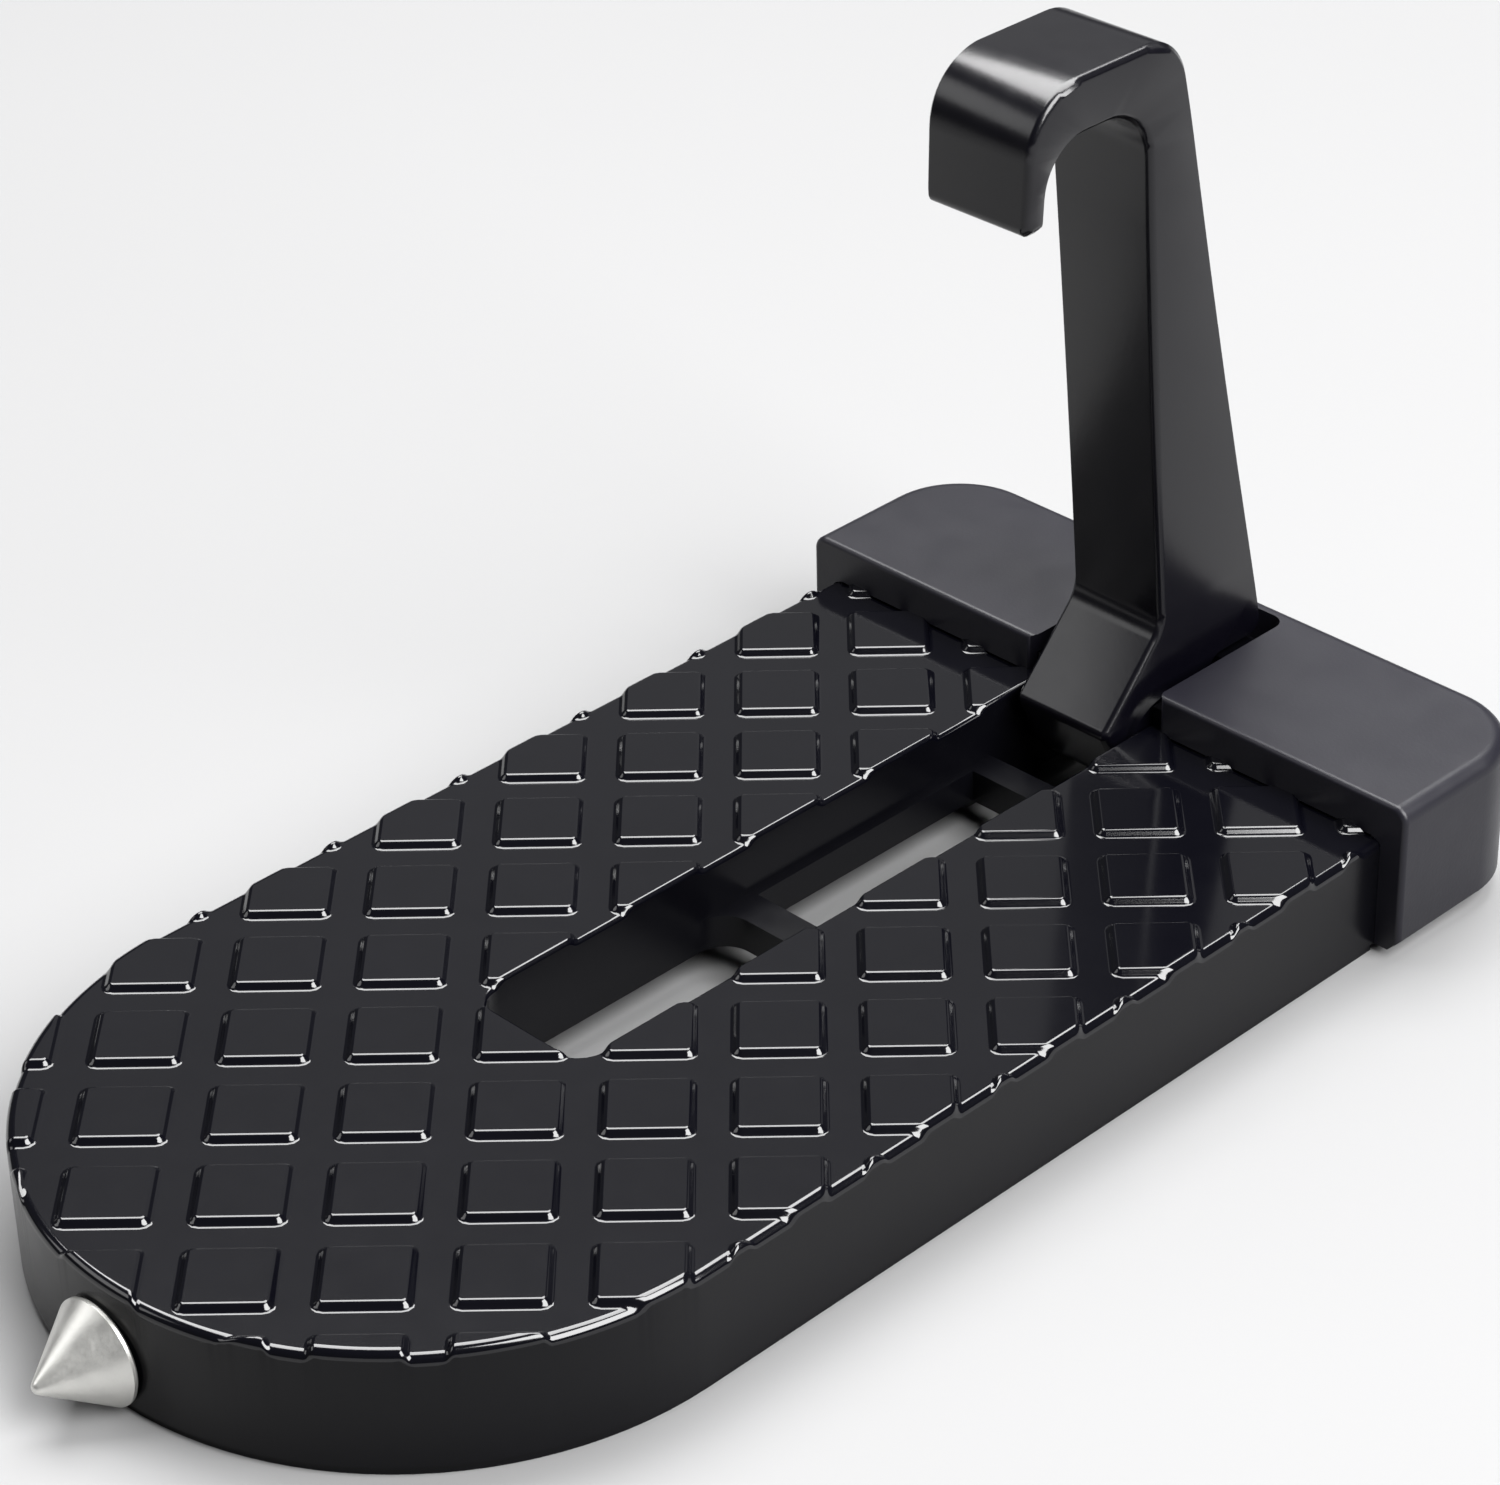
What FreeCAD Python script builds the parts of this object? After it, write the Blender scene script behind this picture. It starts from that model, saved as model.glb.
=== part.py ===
import FreeCAD, Part
import math
import os

# Folding step that hooks onto a car's door striker.
# Millimetres. X runs across the tread, Y from the nose to the car body, Z up.
# Every shape is built with Y measured from the nose and Z from the ground,
# and is moved to the centre of the whole step when it is written.

# tread
tread_width = 90.0
tread_height = 16.5
body_length = 183.0
plate_thickness = 4.0
skirt_thickness = 4.0
rim_ease = 0.8
skirt_step_height = 1.3
skirt_step_depth = 0.5
rib_thickness = 2.5
rib_pitch = 26.0
rib_foot = 4.5

# raised square pads on the tread, set corner to corner
pad_pitch = 14.28
pad_groove = 3.7
pad_height = 0.5
pad_slope = 0.9
pad_edge = 0.15
pad_start = -0.35

# slot that the hook folds into
slot_width = 17.5
slot_corner_radius = 4.0
slot_ease = 0.5
slot_wall = 3.5
slot_wall_foot = 4.5
floor_depth = 7.6
floor_ledge = 1.0
bar_setback = 54.6
bar_width = 4.8
sill_width = 4.2

# hinge
pin_diameter = 6.0
pin_length = 40.0
pin_chamfer = 0.6
pin_drop = 4.0
pin_setback = 3.4
barrel_radius = 7.0
lug_width = 13.0
block_rise = 2.2
pocket_length = 12.1
tongue_foot = 3.0

# rubber bumper
bumper_depth = 27.0
bumper_overhang = 3.5
bumper_rise = 4.8
bumper_wall = 5.0
bumper_corner_radius = 11.5
bumper_top_radius = 2.0
bumper_front_radius = 0.7
bumper_foot = 1.2
bumper_foot_ease = 1.6
bumper_slot_width = 20.4
bumper_slot_backing = 2.4
bumper_slot_round = 1.4
bumper_lip = 8.0
bumper_front_lip = 1.0

# hook, seen from the side
hook_height = 90.2
hook_width_root = 15.2
hook_width_waist = 14.9
hook_width_crown = 16.4
hook_edge_ease = 0.9
hook_lean_deg = 4.7
foot_height = 11.4
foot_run = 10.4
toe_rise = 0.3
shank_offset = 0.4
crown_thickness = 7.4
crown_back = 0.3
crown_back_radius = 8.0
crown_front_radius = 8.5
mouth_width = 16.2
mouth_depth = 9.8
mouth_back_radius = 7.0
mouth_front_radius = 6.0
tip_thickness = 3.8
tip_radius = 1.4
heel_reach = 20.8
heel_radius = 2.5

# glass-breaking point on the nose
hammer_diameter = 12.8
hammer_reach = 9.0
hammer_band = 0.7
hammer_tip_radius = 0.9
hammer_drop = 9.9
stud_diameter = 6.0
stud_length = 12.0
boss_wall = 3.4

# clearances
stop_gap = 0.3
hub_gap = 0.35
bore_gap = 0.06
press_gap = 0.01
bumper_gap = 0.1
sill_gap = 1.9
nose_gap = 3.1
pocket_gap = 1.0

# derived
half_width = tread_width / 2
pin_height = tread_height - pin_drop
hammer_height = tread_height - hammer_drop
groove_level = tread_height - pad_height
plate_under = groove_level - plate_thickness
half_slot = slot_width / 2
bumper_front = body_length - bumper_depth
pin_y = bumper_front + pin_setback
block_top = tread_height + block_rise
block_half = half_slot + lug_width
pocket_back = pin_y + pocket_length
floor_top = tread_height - floor_depth
tongue_half = half_width + bumper_overhang - bumper_wall
tongue_back = body_length - bumper_wall
heel_level = block_top + stop_gap
crown_top = tread_height + hook_height
pad_step = pad_pitch / math.sqrt(2)
whole_length = body_length + hammer_reach
nose_y = hammer_reach - whole_length / 2


def vec(x, y, z):
    return FreeCAD.Vector(x, y, z)


def box(x0, x1, y0, y1, z0, z1):
    return Part.makeBox(x1 - x0, y1 - y0, z1 - z0, vec(x0, y0, z0))


def rod(radius, length, start, direction):
    return Part.makeCylinder(radius, length, start, direction)


def rounded_wire(corners, place):
    """Closed outline of straight runs. Each corner is (a, b, radius)."""
    count = len(corners)
    starts = []
    arcs = []
    for i in range(count):
        here = vec(corners[i][0], corners[i][1], 0)
        before = vec(corners[i - 1][0], corners[i - 1][1], 0) - here
        after = vec(corners[(i + 1) % count][0], corners[(i + 1) % count][1], 0) - here
        radius = corners[i][2]
        if radius == 0:
            starts.append((here, here))
            arcs.append(None)
            continue
        before.normalize()
        after.normalize()
        half = before.getAngle(after) / 2
        run = radius / math.tan(half)
        middle = before + after
        middle.normalize()
        top = here + middle * (radius / math.sin(half) - radius)
        starts.append((here + before * run, here + after * run))
        arcs.append(top)
    edges = []
    for i in range(count):
        first, second = starts[i]
        if arcs[i] is not None:
            three = [place(p.x, p.y) for p in (first, arcs[i], second)]
            edges.append(Part.Arc(three[0], three[1], three[2]).toShape())
        following = starts[(i + 1) % count][0]
        if (following - second).Length > 1e-6:
            edges.append(Part.makeLine(place(second.x, second.y), place(following.x, following.y)))
    return Part.Wire(edges)


def plan_prism(corners, z0, z1):
    wire = rounded_wire(corners, lambda a, b: vec(a, b, z0))
    return Part.Face(wire).extrude(vec(0, 0, z1 - z0))


def edges_at(shape, test):
    found = []
    for edge in shape.Edges:
        box_of = edge.BoundBox
        if test(box_of):
            found.append(edge)
    return found


def tangent_meeting(first, second, centre, radius):
    """Corner below the barrel where the lines from two points touch its circle."""
    lines = []
    for point, side in ((first, -1), (second, 1)):
        reach = centre - point
        turn = math.asin(radius / reach.Length)
        angle = math.atan2(reach.y, reach.x) + side * turn
        lines.append((point, vec(math.cos(angle), math.sin(angle), 0)))
    (p, d), (q, e) = lines
    cross = d.x * e.y - d.y * e.x
    along = ((q.x - p.x) * e.y - (q.y - p.y) * e.x) / cross
    return p + d * along


def hook_outline():
    """Side view of the hook as (y, z, radius) corners, from the toe upwards."""
    fold_z = tread_height + foot_height
    fold_y = pin_y + shank_offset
    lean = math.tan(math.radians(hook_lean_deg))
    mouth_z = crown_top - crown_thickness
    mouth_y = fold_y - (mouth_z - fold_z) * lean
    tip_z = mouth_z - mouth_depth
    tip_y = mouth_y - mouth_width - 0.05 * mouth_depth
    toe = vec(fold_y - foot_run, tread_height + toe_rise, 0)
    seat = vec(pocket_back - pocket_gap, heel_level, 0)
    under = tangent_meeting(toe, seat, vec(pin_y, pin_height, 0), barrel_radius)
    return [
        (toe.x, toe.y, tip_radius),
        (fold_y, fold_z, 3.0 * tip_radius),
        (mouth_y, mouth_z, mouth_back_radius),
        (mouth_y - mouth_width, mouth_z, mouth_front_radius),
        (tip_y, tip_z, 0.95 * tip_radius),
        (tip_y - tip_thickness, tip_z, tip_radius),
        (tip_y - tip_thickness + 0.8, crown_top, crown_front_radius),
        (pin_y + crown_back, crown_top, crown_back_radius),
        (pin_y + heel_reach, heel_level, heel_radius),
        (seat.x, seat.y, tip_radius),
        (under.x, under.y, barrel_radius),
    ]


def hook_wire(x):
    return rounded_wire(hook_outline(), lambda a, b: vec(x, a, b))


def fold_radius():
    """Farthest the hook reaches from its pin."""
    points = hook_wire(0).discretize(600)
    return max(math.hypot(p.y - pin_y, p.z - pin_height) for p in points)


def toe_radius():
    toe = hook_outline()[0]
    return math.hypot(toe[0] - pin_y, toe[1] - pin_height)


slot_front = pin_y - fold_radius() - nose_gap
bar_back = pin_y - bar_setback
bar_front = bar_back - bar_width
sill_back = pin_y - toe_radius() - sill_gap
sill_front = sill_back - sill_width


def tread_prism(z0, z1, inset):
    """Tread outline with its open slot, round at the nose."""
    half = half_width - inset
    corners = [
        (half, inset, half - 0.001),
        (half, bumper_front, 0),
        (half_slot, bumper_front, 0),
        (half_slot, slot_front, slot_corner_radius),
        (-half_slot, slot_front, slot_corner_radius),
        (-half_slot, bumper_front, 0),
        (-half, bumper_front, 0),
        (-half, inset, half - 0.001),
    ]
    return plan_prism(corners, z0, z1)


def rim_eased(solid, top):
    """Ease the top rim and the slot's rim, not the edge behind the bumper."""
    def on_top(b):
        return b.ZMin > top - 1e-3 and b.YMin < bumper_front - 1e-3

    def at_slot(b):
        return on_top(b) and max(abs(b.XMin), abs(b.XMax)) < half_slot + 1e-3
    rim = edges_at(solid, lambda b: on_top(b) and not at_slot(b))
    solid = solid.makeChamfer(rim_ease, rim)
    return solid.makeChamfer(slot_ease, edges_at(solid, at_slot))


def flat_face(points):
    return Part.Face(Part.makePolygon(points + points[:1]))


def plain_pad():
    """One raised pad at the origin, corners along X and Y, foot sunk in the plate."""
    foot = (pad_pitch - pad_groove) / 2
    sink = 0.4
    crest = tread_height - pad_edge
    low = foot + pad_slope * sink / pad_height
    high = foot - pad_slope * (pad_height - pad_edge) / pad_height
    levels = [(low, groove_level - sink), (high, crest), (high - pad_edge, tread_height)]
    rings = []
    for half, z in levels:
        rings.append([vec(-half, -half, z), vec(half, -half, z), vec(half, half, z), vec(-half, half, z)])
    faces = [flat_face(rings[0]), flat_face(rings[-1])]
    for below, above in zip(rings, rings[1:]):
        for i in range(4):
            j = (i + 1) % 4
            faces.append(flat_face([below[i], below[j], above[j], above[i]]))
    pad = Part.makeSolid(Part.makeShell(faces))
    if pad.Volume < 0:
        pad.reverse()
    pad.rotate(vec(0, 0, 0), vec(0, 0, 1), 45)
    return pad


def pads():
    """Pads over the whole tread, cut off flush by its rim and by the slot."""
    skin = rim_eased(tread_prism(groove_level - 2.5, tread_height, 0), tread_height)
    one = plain_pad()
    reach = pad_step
    found = []
    columns = int(half_width / pad_step) + 1
    rows = int(bumper_front / pad_step) + 1
    for row in range(-1, rows + 1):
        for column in range(-columns, columns + 1):
            if (row + column) % 2:
                continue
            x = column * pad_step
            y = row * pad_step + pad_start
            pad = one.copy()
            pad.translate(vec(x, y, 0))
            ends = [(x + reach, y), (x - reach, y), (x, y + reach), (x, y - reach)]
            if not all(clear_of_rims(a, b) for a, b in ends):
                pad = pad.common(skin)
            for piece in pad.Solids:
                if piece.Volume > 0.5:
                    found.append(piece)
    return found


def clear_of_rims(x, y):
    """True where a pad's corner is well inside the tread's top."""
    margin = rim_ease + 0.5
    if abs(x) > half_width - margin or y > bumper_front - margin:
        return False
    if y < half_width and math.hypot(x, y - half_width) > half_width - margin:
        return False
    return abs(x) > half_slot + margin or y < slot_front - margin


def underside():
    """Hollow under the plate, left open between skirt, slot walls and ribs."""
    half = half_width - skirt_thickness
    back = bumper_front - skirt_thickness
    outline = [
        (half, skirt_thickness, half - 0.001),
        (half, back, 3.0),
        (-half, back, 3.0),
        (-half, skirt_thickness, half - 0.001),
    ]
    hollow = plan_prism(outline, -1.0, plate_under)
    around = half_slot + slot_wall
    wall = plan_prism([
        (around, back + 1.0, 0),
        (-around, back + 1.0, 0),
        (-around, slot_front - slot_wall, slot_corner_radius + slot_wall),
        (around, slot_front - slot_wall, slot_corner_radius + slot_wall),
    ], slot_wall_foot, tread_height)
    kept = [wall, hammer_boss(), hinge_block(tongue_foot)]
    middle = (half_width + around) / 2
    thick = rib_thickness / 2
    for side in (-1, 1):
        kept.append(box(side * middle - thick, side * middle + thick, 0, back + 1, rib_foot, tread_height))
    row = rib_pitch
    while row < back - rib_pitch / 2:
        kept.append(box(-half_width, half_width, row - thick, row + thick, rib_foot, tread_height))
        row += rib_pitch
    return hollow.cut(kept[0].multiFuse(kept[1:]))


def hammer_boss():
    radius = stud_diameter / 2 + boss_wall
    start = vec(0, skirt_thickness / 2, hammer_height)
    boss = rod(radius, stud_length + boss_wall, start, vec(0, 1, 0))
    top = box(-radius, radius, start.y, start.y + stud_length + boss_wall, hammer_height, tread_height)
    return boss.fuse(top)


def hinge_block(z0):
    """Solid block each side of the slot that carries the pin."""
    front = sill_front
    return box(-block_half, block_half, front, tongue_back - bumper_wall, z0, groove_level)


def slot_floor():
    """Ledges and cross bars low in the slot, with a round-ended front window."""
    outer = half_slot + slot_wall / 2
    reach = bar_front - 2 * slot_corner_radius
    floor = box(-outer, outer, reach, sill_back, slot_wall_foot, floor_top)
    window = plan_prism([
        (half_slot, bar_front, slot_corner_radius),
        (-half_slot, bar_front, slot_corner_radius),
        (-half_slot, slot_front, 0),
        (half_slot, slot_front, 0),
    ], 0, tread_height)
    inner = half_slot - floor_ledge
    rear = box(-inner, inner, bar_back, sill_front, 0, tread_height)
    return floor.cut(window).cut(rear)


def tongue():
    """Stepped-in end of the casting that the bumper is pushed over."""
    radius = bumper_corner_radius - bumper_wall
    start = bumper_front - skirt_thickness
    body = plan_prism([
        (tongue_half, start, 0),
        (tongue_half, tongue_back, radius),
        (-tongue_half, tongue_back, radius),
        (-tongue_half, start, 0),
    ], tongue_foot, groove_level)
    raised = plan_prism([
        (tongue_half, bumper_front + bumper_front_lip, 0),
        (tongue_half, tongue_back, radius),
        (-tongue_half, tongue_back, radius),
        (-tongue_half, bumper_front + bumper_front_lip, 0),
    ], groove_level - 1, block_top)
    side_x = block_half + rib_thickness
    side_y = tongue_back - skirt_thickness
    for side in (-1, 1):
        outer = side * (tongue_half - skirt_thickness)
        inner = side * side_x
        x0, x1 = sorted((inner, outer))
        body = body.cut(box(x0, x1, bumper_front, side_y, 0, plate_under))
    return body.fuse(raised)


def make_tread():
    body = rim_eased(tread_prism(skirt_step_height, groove_level, 0), groove_level)
    body = body.fuse(tread_prism(0, skirt_step_height, skirt_step_depth))
    body = body.cut(underside())
    body = body.multiFuse([tongue(), slot_floor()])
    pocket = box(-half_slot, half_slot, sill_back, pocket_back, -1, crown_top)
    body = body.cut(pocket)
    hole = pin_diameter / 2 + press_gap
    body = body.cut(rod(hole, half_width + block_half, vec(-pin_length / 2, pin_y, pin_height), vec(1, 0, 0)))
    stud_hole = rod(stud_diameter / 2 + press_gap, stud_length + 1, vec(0, -1, hammer_height), vec(0, 1, 0))
    body = body.cut(stud_hole)
    return body.multiFuse(pads()).removeSplitter()


def make_bumper():
    half = half_width + bumper_overhang
    top = tread_height + bumper_rise
    block = plan_prism([
        (half, bumper_front, 0),
        (half, body_length, bumper_corner_radius),
        (-half, body_length, bumper_corner_radius),
        (-half, bumper_front, 0),
    ], bumper_foot, top)

    def upper(b):
        return b.ZMin > top - 1e-3 and b.YMax > bumper_front + 1e-3

    def lower(b):
        return b.ZMax < bumper_foot + 1e-3 and b.YMax > bumper_front + 1e-3
    block = block.makeFillet(bumper_top_radius, edges_at(block, upper))
    block = block.makeChamfer(bumper_foot_ease, edges_at(block, lower))
    front = edges_at(block, lambda b: b.YMax < bumper_front + 1e-3 and b.ZMax > bumper_foot + bumper_foot_ease + 1)
    block = block.makeFillet(bumper_front_radius, front)
    for hollow in bumper_hollows():
        block = block.cut(hollow)
    return block


def bumper_hollows():
    """Socket for the tongue, slot for the hook and the open underside."""
    gap = bumper_gap
    radius = bumper_corner_radius - bumper_wall + gap
    socket = plan_prism([
        (tongue_half + gap, bumper_front - 1, 0),
        (tongue_half + gap, tongue_back + gap, radius),
        (-tongue_half - gap, tongue_back + gap, radius),
        (-tongue_half - gap, bumper_front - 1, 0),
    ], tongue_foot - gap, groove_level + gap)
    raised = plan_prism([
        (tongue_half + gap, bumper_front + bumper_front_lip - gap, 0),
        (tongue_half + gap, tongue_back + gap, radius),
        (-tongue_half - gap, tongue_back + gap, radius),
        (-tongue_half - gap, bumper_front + bumper_front_lip - gap, 0),
    ], groove_level - 1, block_top + gap)
    slot_half = bumper_slot_width / 2
    slot_back = body_length - bumper_slot_backing
    mouth = bumper_front - 0.05
    wide = slot_half + 2 * bumper_slot_round
    slot = plan_prism([
        (wide, bumper_front - 1, 0),
        (wide, mouth, 0),
        (slot_half, mouth, bumper_slot_round),
        (slot_half, slot_back, 2.0),
        (-slot_half, slot_back, 2.0),
        (-slot_half, mouth, bumper_slot_round),
        (-wide, mouth, 0),
        (-wide, bumper_front - 1, 0),
    ], groove_level + gap, crown_top)
    lip = half_width + bumper_overhang - bumper_wall - bumper_lip
    under = plan_prism([
        (lip, bumper_front - 1, 0),
        (lip, tongue_back - bumper_lip, 3.0),
        (-lip, tongue_back - bumper_lip, 3.0),
        (-lip, bumper_front - 1, 0),
    ], -1, tongue_foot)
    return [socket, raised, slot, under]


def make_hook():
    """Flat casting with slightly hollow sides, wider again at the crown."""
    wide = hook_width_crown
    body = Part.Face(hook_wire(-wide)).extrude(vec(2 * wide, 0, 0))
    low = vec(hook_width_root / 2, 0, pin_height - barrel_radius - 1)
    waist = vec(hook_width_waist / 2, 0, tread_height + 0.5 * hook_height)
    high = vec(hook_width_crown / 2, 0, crown_top + 1)
    ring = []
    for side in (1, -1):
        three = [vec(side * p.x, p.y, p.z) for p in (low, waist, high)]
        ring.append(Part.Arc(three[0], three[1], three[2]).toShape())
    ring.append(Part.makeLine(low, vec(-low.x, low.y, low.z)))
    ring.append(Part.makeLine(high, vec(-high.x, high.y, high.z)))
    slab = Part.Face(Part.Wire(Part.__sortEdges__(ring))).extrude(vec(0, 2 * body_length, 0))
    body = body.common(slab)
    body = body.makeChamfer(hook_edge_ease, side_edges(body))
    hub = half_slot - hub_gap
    body = body.fuse(rod(barrel_radius - 0.5, 2 * hub, vec(-hub, pin_y, pin_height), vec(1, 0, 0)))
    bore = pin_diameter / 2 + bore_gap
    body = body.cut(rod(bore, 4 * hub, vec(-2 * hub, pin_y, pin_height), vec(1, 0, 0)))
    return body.removeSplitter()


def side_edges(body):
    """Edges that run round the two flat sides, not those across the width."""
    return edges_at(body, lambda b: b.XLength < 0.5 * hook_width_crown)


def make_pin():
    radius = pin_diameter / 2
    pin = rod(radius, pin_length, vec(-pin_length / 2, pin_y, pin_height), vec(1, 0, 0))
    ends = edges_at(pin, lambda b: b.XLength < 1e-3)
    return pin.makeChamfer(pin_chamfer, ends)


def make_hammer():
    """Cone and its stud, turned about one axis."""
    base = hammer_diameter / 2
    stud = stud_diameter / 2
    tip = hammer_tip_radius
    angle = math.atan2(base - tip, hammer_reach - hammer_band - tip)
    side_y = -hammer_reach + tip - tip * math.sin(angle)
    side_x = tip * math.cos(angle)
    mid = math.radians(90) - (math.radians(90) - angle) / 2
    centre = -hammer_reach + tip
    arc = Part.Arc(
        vec(side_x, side_y, 0),
        vec(tip * math.cos(mid), centre - tip * math.sin(mid), 0),
        vec(0, -hammer_reach, 0),
    ).toShape()
    points = [
        vec(0, -hammer_reach, 0),
        vec(0, stud_length, 0),
        vec(stud - 0.6, stud_length, 0),
        vec(stud, stud_length - 0.6, 0),
        vec(stud, 0, 0),
        vec(base - 0.3, 0, 0),
        vec(base, -0.3, 0),
        vec(base, -hammer_band, 0),
        vec(side_x, side_y, 0),
    ]
    lines = [Part.makeLine(points[i], points[i + 1]) for i in range(len(points) - 1)]
    face = Part.Face(Part.Wire(lines + [arc]))
    cone = face.revolve(vec(0, 0, 0), vec(0, 1, 0), 360)
    cone.translate(vec(0, 0, hammer_height))
    return cone


def write(name, shape):
    solids = shape.Solids
    solid = solids[0] if len(solids) == 1 else shape
    placed = solid.copy()
    placed.translate(vec(0, nose_y, 0))
    placed.exportStep(os.path.join("parts", name + ".step"))


os.makedirs("parts", exist_ok=True)
write("tread", make_tread())
write("rear_bumper", make_bumper())
write("hook", make_hook())
write("hinge_pin", make_pin())
write("hammer_tip", make_hammer())
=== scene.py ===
import math
import bmesh
import bpy
from mathutils import Matrix, Vector
from mathutils.geometry import delaunay_2d_cdt


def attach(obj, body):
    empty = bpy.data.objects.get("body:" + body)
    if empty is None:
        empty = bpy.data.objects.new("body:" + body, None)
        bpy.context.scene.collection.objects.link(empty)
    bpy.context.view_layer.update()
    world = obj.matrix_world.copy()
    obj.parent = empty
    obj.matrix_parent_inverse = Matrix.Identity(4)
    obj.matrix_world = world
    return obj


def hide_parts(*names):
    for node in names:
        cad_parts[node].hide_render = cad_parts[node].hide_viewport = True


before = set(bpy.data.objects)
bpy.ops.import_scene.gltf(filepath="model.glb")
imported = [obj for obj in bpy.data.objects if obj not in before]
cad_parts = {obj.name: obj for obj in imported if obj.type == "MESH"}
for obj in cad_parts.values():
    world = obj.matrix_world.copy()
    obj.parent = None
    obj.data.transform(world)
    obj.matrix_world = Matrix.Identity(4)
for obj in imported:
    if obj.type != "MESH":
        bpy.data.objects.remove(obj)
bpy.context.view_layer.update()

MM = 0.001

# sizes of the tread's top in millimetres, y from the nose
NOSE_Y = -87.0
HALF_WIDTH = 45.0
BUMPER_FRONT = 156.0
TREAD_TOP = 16.5
GROOVE = 15.75
SKIRT_STEP = 1.3
PAD_PITCH = 14.28
PAD_FOOT = 10.58
PAD_START = -0.35
PAD_SLOPE = 0.75
PAD_CORNER = 1.25
PAD_BEND = 0.26
RIM_RADIUS = 1.1
SLOT_HALF = 8.75
SLOT_FRONT = 60.424
SLOT_CORNER = 4.0
SLOT_RADIUS = 0.6
WALL_CUT = 13.5
WALL_TOLERANCE = 0.06

# fineness of the tread's skin
PAD_COUNT = 15
SIDE_STEPS = 37
NOSE_STEPS = 120
SLOT_STEPS = 31
CORNER_STEPS = 16

# edges that bend more than this stay sharp, in degrees
HARD_BEND = 32.0
SOFT_BEND = 50.0

# photo's camera: millimetres from the nose's top, pixels and degrees
EYE = (311.01, -204.62, 292.85)
EYE_AIM = (-0.6083, 0.5891, -0.5319)
EYE_ROLL = -1.4247
FOCAL_PIXELS = 4501.2
PHOTO_PIXELS = 1500.0
SENSOR_WIDTH = 36.0


class Sock:
    """A shader value. Python maths on it adds Math nodes."""

    def __init__(self, paint, out):
        self.paint = paint
        self.out = out

    def _math(self, operation, first, second):
        return self.paint.node("ShaderNodeMath", {"operation": operation}, {0: first, 1: second})

    def __add__(self, other):
        return self._math("ADD", self, other)

    def __mul__(self, other):
        return self._math("MULTIPLY", self, other)


class Paint:
    """A material with one Principled shader."""

    def __init__(self, name, **constants):
        self.material = bpy.data.materials.new(name)
        self.material.use_nodes = True
        self.tree = self.material.node_tree
        self.shader = self.tree.nodes["Principled BSDF"]
        for key, value in constants.items():
            self.shader.inputs[key.replace("_", " ")].default_value = value

    def node(self, kind, settings=None, inputs=None, out=0):
        made = self.tree.nodes.new(kind)
        for key, value in (settings or {}).items():
            setattr(made, key, value)
        for key, value in (inputs or {}).items():
            self.feed(made.inputs[key], value)
        return Sock(self, made.outputs[out])

    def feed(self, socket, value):
        if isinstance(value, Sock):
            self.tree.links.new(value.out, socket)
        else:
            socket.default_value = value

    def noise(self, scale, detail=3.0, rough=0.55):
        return self.node("ShaderNodeTexNoise", None, {
            "Vector": self.node("ShaderNodeTexCoord", out="Object"),
            "Scale": scale, "Detail": detail, "Roughness": rough})

    def ramp(self, value, low, high):
        return self.node("ShaderNodeMapRange", {"clamp": True}, {
            "Value": value, "From Min": 0.3, "From Max": 0.7, "To Min": low, "To Max": high})

    def tint(self, factor, first, second):
        return self.node("ShaderNodeMix", {"data_type": "RGBA"}, {
            0: self.ramp(factor, 0.0, 1.0), 6: first + (1,), 7: second + (1,)}, out=2)

    def bump(self, height, strength):
        return self.node("ShaderNodeBump", None, {
            "Strength": strength, "Distance": 0.0002, "Height": height})

    def set(self, **links):
        for key, value in links.items():
            self.feed(self.shader.inputs[key.replace("_", " ")], value)
        return self.material


def coat(name, dark, light, shine, smooth, rough, cloud_scale, grain_scale, grain):
    """Black coat or rubber: a faint cloud in colour, a changing sheen and a fine grain."""
    paint = Paint(name, IOR=1.5, Specular_IOR_Level=shine)
    return paint.set(
        Base_Color=paint.tint(paint.noise(cloud_scale, 4.0), dark, light),
        Roughness=paint.ramp(paint.noise(4.0 * cloud_scale), smooth, rough),
        Normal=paint.bump(paint.noise(grain_scale), grain))


def metal(name, dark, light, smooth, rough):
    paint = Paint(name, Metallic=1.0)
    cloud = paint.noise(400.0, 4.0)
    fine = paint.noise(2600.0)
    return paint.set(
        Base_Color=paint.tint(cloud, dark, light),
        Roughness=paint.ramp(cloud * 0.6 + fine * 0.4, smooth, rough),
        Normal=paint.bump(fine, 0.06))


def floor_paper():
    paint = Paint("floor_paper")
    cloud = paint.noise(3.0)
    return paint.set(
        Base_Color=paint.tint(cloud, (0.176, 0.176, 0.177), (0.182, 0.182, 0.183)),
        Roughness=paint.ramp(cloud, 0.8, 0.9))


def merged_copy(node, name, bend_deg):
    """A joined-up copy of a solid's triangles, smooth over its eased edges."""
    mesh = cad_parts[node].data.copy()
    mesh.name = name
    if mesh.has_custom_normals:
        mesh.attributes.remove(mesh.attributes["custom_normal"])
    shape = bmesh.new()
    shape.from_mesh(mesh)
    bmesh.ops.remove_doubles(shape, verts=shape.verts, dist=2e-6)
    bmesh.ops.dissolve_degenerate(shape, edges=shape.edges, dist=1e-7)
    shape.to_mesh(mesh)
    shape.free()
    mesh.materials.clear()
    mesh.shade_smooth()
    mesh.set_sharp_from_angle(angle=math.radians(bend_deg))
    piece = bpy.data.objects.new(name, mesh)
    bpy.context.scene.collection.objects.link(piece)
    return piece


def weigh_normals(piece):
    weigh = piece.modifiers.new("even_flats", "WEIGHTED_NORMAL")
    weigh.mode = "FACE_AREA"
    weigh.weight = 60
    weigh.keep_sharp = True


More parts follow.
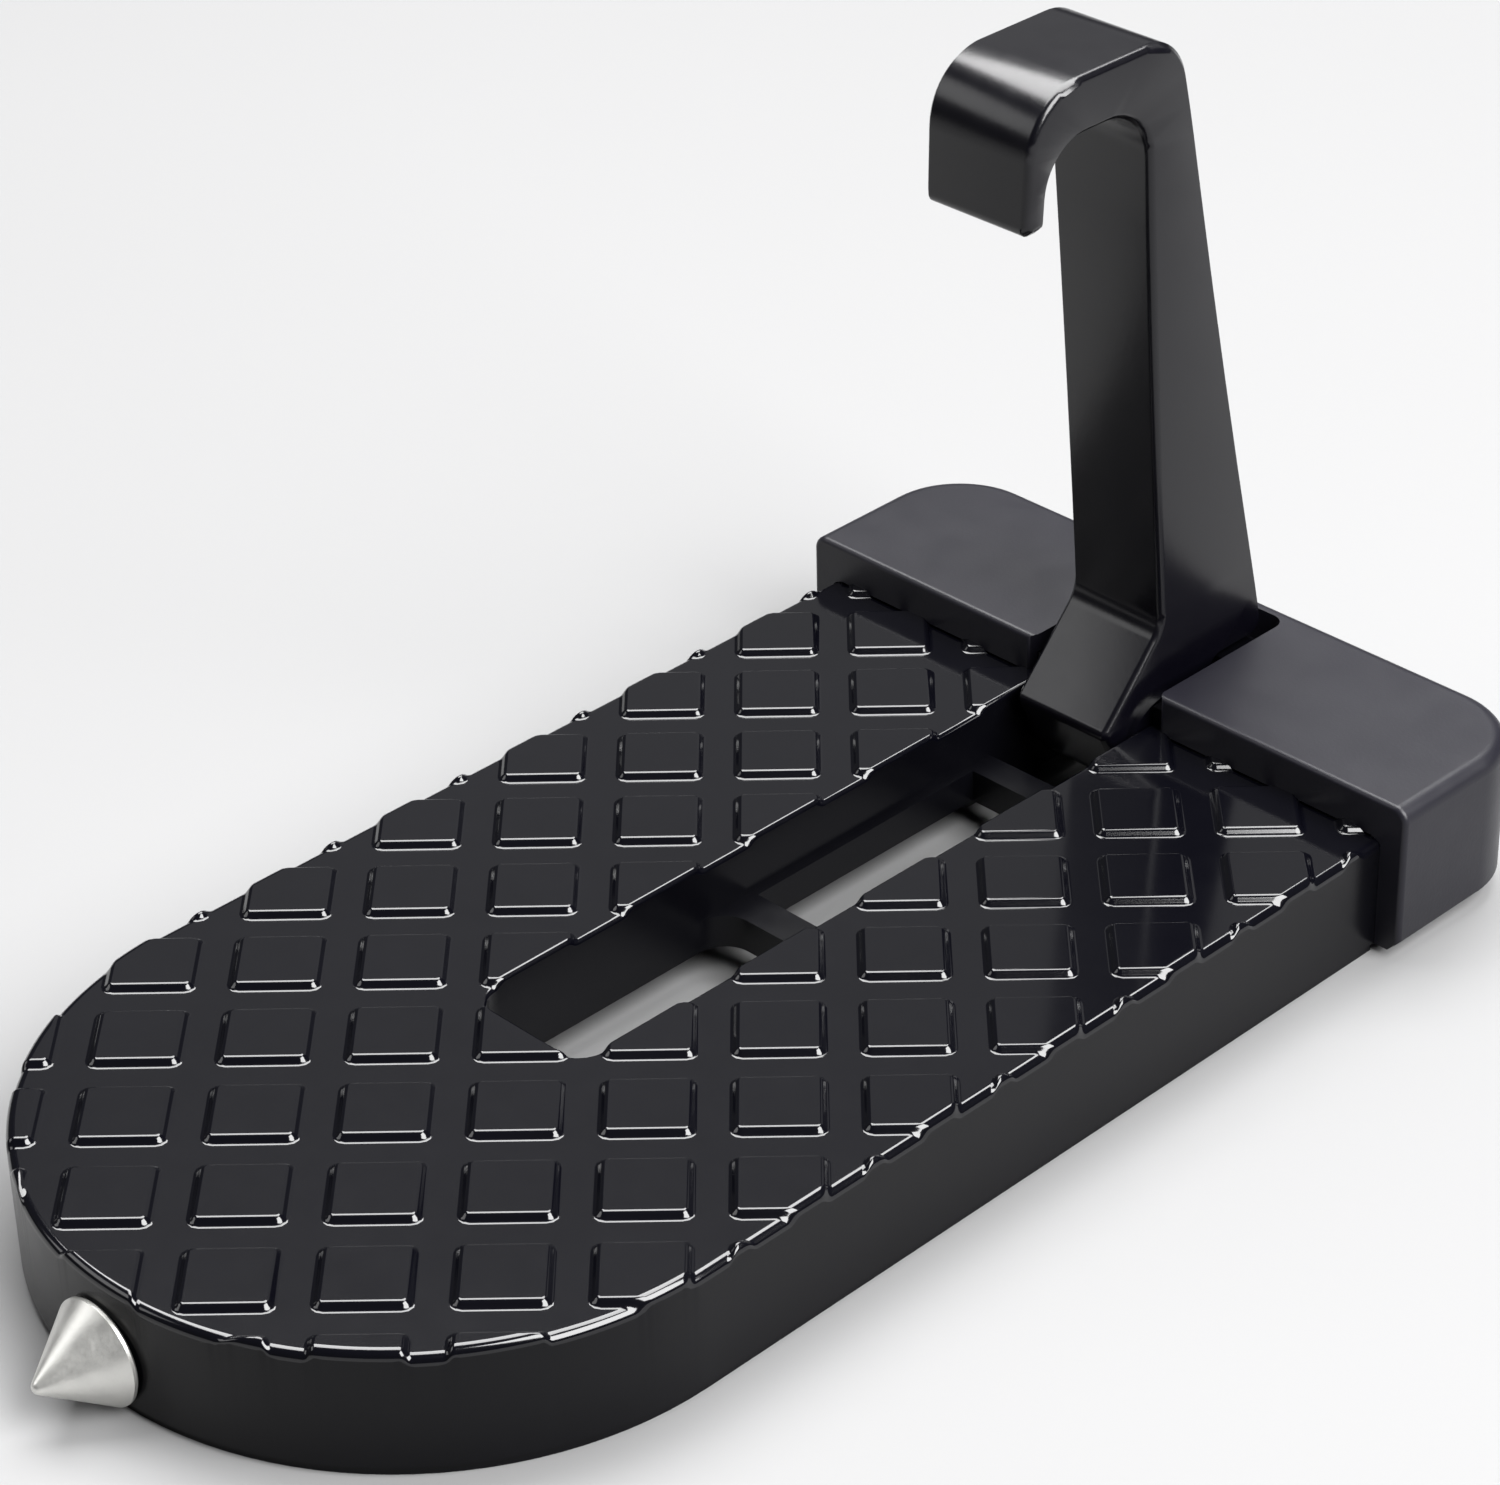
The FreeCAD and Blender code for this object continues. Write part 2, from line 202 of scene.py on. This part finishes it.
def pad_line_tree(depths):
    """Geometry Nodes: the nested outlines of one pad, repeated over a square field turned 45 degrees."""
    tree = bpy.data.node_groups.new("pad_lines", "GeometryNodeTree")
    face = tree.interface
    for name in ("Pitch", "Foot", "Corner", "Start"):
        face.new_socket(name=name, in_out="INPUT", socket_type="NodeSocketFloat")
    face.new_socket(name="Count", in_out="INPUT", socket_type="NodeSocketInt")
    face.new_socket(name="Coat", in_out="INPUT", socket_type="NodeSocketMaterial")
    face.new_socket(name="Lines", in_out="OUTPUT", socket_type="NodeSocketGeometry")

    def add(kind, settings=None, inputs=None):
        made = tree.nodes.new(kind)
        for key, value in (settings or {}).items():
            setattr(made, key, value)
        for key, value in (inputs or {}).items():
            if isinstance(value, bpy.types.NodeSocket):
                tree.links.new(value, made.inputs[key])
            else:
                made.inputs[key].default_value = value
        return made

    def sums(operation, first, second):
        return add("ShaderNodeMath", {"operation": operation}, {0: first, 1: second}).outputs[0]

    given = add("NodeGroupInput").outputs
    joined = add("GeometryNodeJoinGeometry")
    for depth in depths:
        side = sums("SUBTRACT", given["Foot"], 2 * depth)
        square = add("GeometryNodeCurvePrimitiveQuadrilateral", {"mode": "RECTANGLE"}, {0: side, 1: side})
        soft = add("GeometryNodeFilletCurve", {"mode": "POLY"}, {
            "Curve": square.outputs[0], "Count": 3, "Radius": sums("SUBTRACT", given["Corner"], depth)})
        line = add("GeometryNodeCurveToMesh", None, {"Curve": soft.outputs[0]})
        tree.links.new(line.outputs[0], joined.inputs[0])
    reach = sums("MULTIPLY", given["Pitch"], sums("SUBTRACT", given["Count"], 1))
    field = add("GeometryNodeMeshGrid", None, {
        "Size X": reach, "Size Y": reach, "Vertices X": given["Count"], "Vertices Y": given["Count"]})
    spread = add("GeometryNodeInstanceOnPoints", None, {
        "Points": field.outputs[0], "Instance": joined.outputs[0]})
    shift = add("ShaderNodeCombineXYZ", None, {"Y": given["Start"]})
    turned = add("GeometryNodeTransform", None, {
        "Geometry": spread.outputs[0],
        "Rotation": (0, 0, math.radians(45)),
        "Translation": shift.outputs[0]})
    real = add("GeometryNodeRealizeInstances", None, {"Geometry": turned.outputs[0]})
    last = add("GeometryNodeSetMaterial", None, {"Geometry": real.outputs[0], "Material": given["Coat"]})
    end = add("NodeGroupOutput")
    tree.links.new(last.outputs[0], end.inputs[0])
    return tree


def pad_lines(depths, gloss):
    """Points and edges of all pad outlines, in millimetres."""
    carrier = bpy.data.objects.new("pad_field", bpy.data.meshes.new("pad_field"))
    bpy.context.scene.collection.objects.link(carrier)
    work = carrier.modifiers.new("pad_lines", "NODES")
    work.node_group = pad_line_tree(depths)
    step = PAD_PITCH * math.sqrt(2)
    start = PAD_START + round(BUMPER_FRONT / 2 / step) * step
    values = {
        "Pitch": PAD_PITCH, "Foot": PAD_FOOT, "Corner": PAD_CORNER,
        "Start": start, "Count": PAD_COUNT, "Coat": gloss}
    for item in work.node_group.interface.items_tree:
        if item.in_out == "INPUT":
            work[item.identifier] = values[item.name]
    bpy.context.view_layer.update()
    seen = carrier.evaluated_get(bpy.context.evaluated_depsgraph_get())
    lines = bpy.data.meshes.new_from_object(seen)
    points = [v.co.copy() for v in lines.vertices]
    edges = [tuple(e.vertices) for e in lines.edges]
    bpy.data.objects.remove(carrier)
    bpy.data.meshes.remove(lines)
    return points, edges


def rim_gap(x, y):
    """Distance inwards from the tread's outer edge."""
    if y < HALF_WIDTH:
        return HALF_WIDTH - math.hypot(x, y - HALF_WIDTH)
    return HALF_WIDTH - abs(x)


def slot_gap(x, y):
    """Distance outwards from the slot's edge."""
    inner_x = abs(x) - (SLOT_HALF - SLOT_CORNER)
    inner_y = (SLOT_FRONT + SLOT_CORNER) - y
    outside = math.hypot(max(inner_x, 0.0), max(inner_y, 0.0))
    return outside + min(max(inner_x, inner_y), 0.0) - SLOT_CORNER


def pad_depth(x, y):
    """Distance inwards from the foot of the nearest pad."""
    u = (x + y - PAD_START) / math.sqrt(2)
    v = (y - PAD_START - x) / math.sqrt(2)
    u -= round(u / PAD_PITCH) * PAD_PITCH
    v -= round(v / PAD_PITCH) * PAD_PITCH
    flat = PAD_FOOT / 2 - PAD_CORNER
    a = abs(u) - flat
    b = abs(v) - flat
    return PAD_CORNER - math.hypot(max(a, 0.0), max(b, 0.0)) - min(max(a, b), 0.0)


def pad_rise(depth):
    """Pad's height: groove, soft foot, slope, soft crest, flat top."""
    bend = PAD_BEND
    if depth <= -bend:
        return 0.0
    if depth < bend:
        return (depth + bend) ** 2 / (4 * bend * PAD_SLOPE)
    if depth <= PAD_SLOPE - bend:
        return depth / PAD_SLOPE
    if depth < PAD_SLOPE + bend:
        return 1.0 - (PAD_SLOPE + bend - depth) ** 2 / (4 * bend * PAD_SLOPE)
    return 1.0


def round_drop(gap, radius):
    gap = min(max(gap, 0.0), radius)
    return radius - math.sqrt(max(radius * radius - (radius - gap) ** 2, 0.0))


def top_level(x, y):
    """Height of the tread's top, pads and rounded rims included."""
    level = GROOVE + (TREAD_TOP - GROOVE) * pad_rise(pad_depth(x, y))
    return level - round_drop(rim_gap(x, y), RIM_RADIUS) - round_drop(slot_gap(x, y), SLOT_RADIUS)


def slope(level, x, y):
    d = 2e-3
    across = level(x - d, y) - level(x + d, y)
    along = level(x, y - d) - level(x, y + d)
    return across / (2 * d), along / (2 * d)


def wall_normal(x, y):
    """Level direction out of the skirt or into the slot."""
    gap = rim_gap if rim_gap(x, y) < slot_gap(x, y) else slot_gap
    return Vector(slope(gap, x, y) + (0.0,)).normalized()


def top_normal(x, y):
    if min(rim_gap(x, y), slot_gap(x, y)) < 1e-3:
        return wall_normal(x, y)
    return Vector(slope(top_level, x, y) + (1.0,)).normalized()


def outline_points(inset):
    """Tread's edge, moved inwards, from the right rear round the nose to the left rear."""
    half = HALF_WIDTH - inset
    run = [
        (half, BUMPER_FRONT - i * (BUMPER_FRONT - HALF_WIDTH) / SIDE_STEPS)
        for i in range(SIDE_STEPS)]
    nose = []
    for i in range(NOSE_STEPS + 1):
        angle = math.pi * i / NOSE_STEPS
        nose.append((half * math.cos(angle), HALF_WIDTH - half * math.sin(angle)))
    return run + nose + [(-x, y) for x, y in reversed(run)]


def slot_points(outset):
    """Slot's edge, moved outwards, from the right rear round its front end to the left rear."""
    half = SLOT_HALF + outset
    front = SLOT_FRONT - outset
    radius = SLOT_CORNER + outset
    right = [
        (half, BUMPER_FRONT - i * (BUMPER_FRONT - front - radius) / SLOT_STEPS)
        for i in range(SLOT_STEPS)]
    for i in range(CORNER_STEPS + 1):
        angle = math.pi / 2 * i / CORNER_STEPS
        right.append((half - radius + radius * math.cos(angle), front + radius - radius * math.sin(angle)))
    return right + [(-x, y) for x, y in reversed(right)]


def on_top(x, y, margin=0.0):
    return rim_gap(x, y) > -margin and slot_gap(x, y) > -margin and y < BUMPER_FRONT + margin


def top_skin(gloss):
    """Flat net of the tread's top that follows every pad outline and rim line."""
    bends = (-1.0, -0.6, -0.2, 0.2, 0.6, 1.0)
    depths = sorted([PAD_BEND * b for b in bends] + [PAD_SLOPE + PAD_BEND * b for b in bends])
    points, edges = pad_lines(depths, gloss)
    keep = {}
    flat = []
    links = []
    for a, b in edges:
        if on_top(*points[a][:2], 1.0) or on_top(*points[b][:2], 1.0):
            for i in (a, b):
                if i not in keep:
                    keep[i] = len(flat)
                    flat.append(Vector(points[i][:2]))
            links.append((keep[a], keep[b]))
    lines = [outline_points(RIM_RADIUS * k) for k in (0.0, 0.03, 0.12, 0.3, 0.6, 1.0)]
    lines += [slot_points(SLOT_RADIUS * k) for k in (0.0, 0.05, 0.2, 0.5, 1.0)]
    for side in (1, -1):
        lines.append([(side * HALF_WIDTH, BUMPER_FRONT), (side * SLOT_HALF, BUMPER_FRONT)])
    for line in lines:
        first = len(flat)
        flat.extend(Vector(p) for p in line)
        links.extend((first + i, first + i + 1) for i in range(len(line) - 1))
    net = delaunay_2d_cdt(flat, links, [], 0, 1e-5)
    places = net[0]
    faces = []
    for face in net[2]:
        middle = sum((places[i] for i in face), Vector((0.0, 0.0))) / len(face)
        if on_top(*middle):
            faces.append(face)
    return places, faces


def open_top(shape):
    """Cut the copied casting below its plate and drop the top and the outer skirt."""
    level = Vector((0, 0, WALL_CUT * MM))
    rear = Vector((0, (BUMPER_FRONT + NOSE_Y) * MM, 0))
    for point, normal in ((level, (0, 0, 1)), (rear, (0, 1, 0))):
        everything = shape.verts[:] + shape.edges[:] + shape.faces[:]
        bmesh.ops.bisect_plane(shape, geom=everything, dist=1e-7, plane_co=point, plane_no=normal)
    gone = []
    for face in shape.faces:
        x, y, z = face.calc_center_median() / MM
        y -= NOSE_Y
        skirt = rim_gap(x, y) < WALL_TOLERANCE and z > SKIRT_STEP and abs(face.normal.z) < 0.5
        if y < BUMPER_FRONT - 1e-3 and (z > WALL_CUT + 1e-3 or skirt):
            gone.append(face)
    bmesh.ops.delete(shape, geom=gone, context="FACES")
    for face in shape.faces:
        face.material_index = 1


def drop_walls(shape, places, top, borders):
    """Walls from the skin's border down to the skirt's step or to the cut casting."""
    foot = {}
    for a, b in borders:
        at_rim = max(rim_gap(*places[a]), rim_gap(*places[b])) < 0.01
        low = SKIRT_STEP if at_rim else WALL_CUT
        for i in (a, b):
            if (i, low) not in foot:
                x, y = places[i]
                foot[i, low] = shape.verts.new(Vector((x, y + NOSE_Y, low)) * MM)
        wall = shape.faces.new([top[a], top[b], foot[b, low], foot[a, low]])
        wall.normal_update()
        x, y, z = wall.calc_center_median() / MM
        if on_top(x + 0.2 * wall.normal.x, y - NOSE_Y + 0.2 * wall.normal.y):
            wall.normal_flip()
        wall.smooth = True
        wall.material_index = 1
    return {vertex: wall_normal(*places[i]) for (i, low), vertex in foot.items()}


def build_tread(gloss, satin):
    """Cast tread: copied underside and slot, with a fine top skin and skirt."""
    piece = merged_copy("tread", "tread_casting", HARD_BEND)
    mesh = piece.data
    shape = bmesh.new()
    shape.from_mesh(mesh)
    open_top(shape)
    places, faces = top_skin(gloss)
    top = {}
    normals = {}
    for i in sorted({i for face in faces for i in face}):
        x, y = places[i]
        top[i] = shape.verts.new(Vector((x, y + NOSE_Y, top_level(x, y))) * MM)
        normals[top[i]] = top_normal(x, y)
    uses = {}
    for face in faces:
        new = shape.faces.new([top[i] for i in face])
        new.normal_update()
        if new.normal.z < 0:
            new.normal_flip()
        new.smooth = True
        for a, b in zip(face, face[1:] + face[:1]):
            key = (min(a, b), max(a, b))
            uses[key] = uses.get(key, 0) + 1
    normals.update(drop_walls(shape, places, top, [pair for pair, count in uses.items() if count == 1]))
    shape.verts.index_update()
    normals = {vertex.index: normal for vertex, normal in normals.items()}
    shape.to_mesh(mesh)
    shape.free()
    mesh.materials.append(gloss)
    mesh.materials.append(satin)
    mesh.set_sharp_from_angle(angle=math.radians(HARD_BEND))
    corner = [c.vector.copy() for c in mesh.corner_normals]
    for polygon in mesh.polygons:
        behind = polygon.center.y / MM - NOSE_Y - BUMPER_FRONT
        flat = abs(polygon.normal.y) > 0.99 and abs(behind) < 0.01
        for i in polygon.loop_indices:
            smooth = normals.get(mesh.loops[i].vertex_index, corner[i])
            corner[i] = polygon.normal.copy() if flat else smooth
    mesh.normals_split_custom_set(corner)
    return piece


def soft_box(name, place, aim, size, glow):
    """Area light of a given brightness per face area."""
    lamp = bpy.data.lights.new(name, "AREA")
    lamp.shape = "RECTANGLE"
    lamp.size, lamp.size_y = size
    lamp.energy = math.pi * size[0] * size[1] * glow
    holder = bpy.data.objects.new(name, lamp)
    holder.location = place
    holder.rotation_euler = (Vector(aim) - Vector(place)).to_track_quat("-Z", "Y").to_euler()
    bpy.context.scene.collection.objects.link(holder)


def studio():
    bpy.ops.mesh.primitive_plane_add(size=8.0, location=(0, 0, 0))
    floor = bpy.context.object
    floor.name = "floor"
    floor.data.materials.append(floor_paper())
    world = bpy.data.worlds.new("studio")
    world.use_nodes = True
    world.node_tree.nodes["Background"].inputs[0].default_value = (0.95, 0.97, 1.0, 1)
    world.node_tree.nodes["Background"].inputs[1].default_value = 0.07
    bpy.context.scene.world = world
    soft_box("back_top", (-0.31, 0.30, 1.07), (0, 0, 0), (1.1, 0.8), 15.0)
    soft_box("key_right", (0.85, 0.12, 0.85), (0, 0, 0), (0.9, 0.9), 20.0)
    soft_box("front_left", (-0.85, -0.8, 0.75), (0, 0, 0), (0.8, 0.5), 2.5)
    soft_box("back_left", (-0.67, 1.16, 0.87), (0, 0, 0), (1.5, 1.1), 0.32)
    bpy.context.scene.view_settings.view_transform = "Standard"


def camera():
    lens = bpy.data.cameras.new("photo_view")
    lens.sensor_fit = "HORIZONTAL"
    lens.sensor_width = SENSOR_WIDTH
    lens.lens = SENSOR_WIDTH * FOCAL_PIXELS / PHOTO_PIXELS
    holder = bpy.data.objects.new("photo_view", lens)
    aim = Vector(EYE_AIM).to_track_quat("-Z", "Y").to_matrix().to_4x4()
    turn = aim @ Matrix.Rotation(math.radians(EYE_ROLL), 4, "Z")
    place = Vector(EYE) + Vector((0, NOSE_Y, TREAD_TOP))
    holder.matrix_world = Matrix.Translation(place * MM) @ turn
    bpy.context.scene.collection.objects.link(holder)
    bpy.context.scene.camera = holder


def finish_piece(piece, node, body):
    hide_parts(node)
    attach(piece, body)


gloss = coat(
    "tread_gloss_coat", (0.0009, 0.0009, 0.0018), (0.0012, 0.0012, 0.0022),
    shine=0.5, smooth=0.10, rough=0.115, cloud_scale=60.0, grain_scale=500.0, grain=0.002)
satin = coat(
    "casting_satin_coat", (0.0010, 0.0010, 0.0016), (0.0013, 0.0013, 0.0020),
    shine=0.19, smooth=0.23, rough=0.27, cloud_scale=80.0, grain_scale=1600.0, grain=0.04)
hook_coat = coat(
    "hook_satin_coat", (0.0010, 0.0009, 0.0020), (0.0013, 0.0012, 0.0024),
    shine=0.41, smooth=0.21, rough=0.24, cloud_scale=70.0, grain_scale=1800.0, grain=0.03)
rubber = coat(
    "bumper_rubber", (0.0040, 0.0037, 0.0067), (0.0047, 0.0044, 0.0077),
    shine=0.32, smooth=0.38, rough=0.43, cloud_scale=50.0, grain_scale=2200.0, grain=0.08)
nickel = metal("point_satin_nickel", (0.63, 0.625, 0.60), (0.69, 0.685, 0.655), 0.36, 0.44)
steel = metal("pin_ground_steel", (0.45, 0.45, 0.46), (0.60, 0.60, 0.61), 0.25, 0.40)

finish_piece(build_tread(gloss, satin), "tread", "step_body")
for node, name, bend_deg, paint, slot, body in (
        ("rear_bumper", "bumper_moulding", SOFT_BEND, rubber, "bumper_rubber", "step_body"),
        ("hook", "hook_casting", SOFT_BEND, hook_coat, "hook_coat", "hook_body"),
        ("hammer_tip", "glass_point", HARD_BEND, nickel, "tip_nickel", "step_body")):
    copied = merged_copy(node, name, bend_deg)
    copied.data.materials.append(paint)
    weigh_normals(copied)
    finish_piece(copied, node, body)
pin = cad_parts["hinge_pin"]
pin.data.materials.clear()
pin.data.materials.append(steel)

studio()
camera()
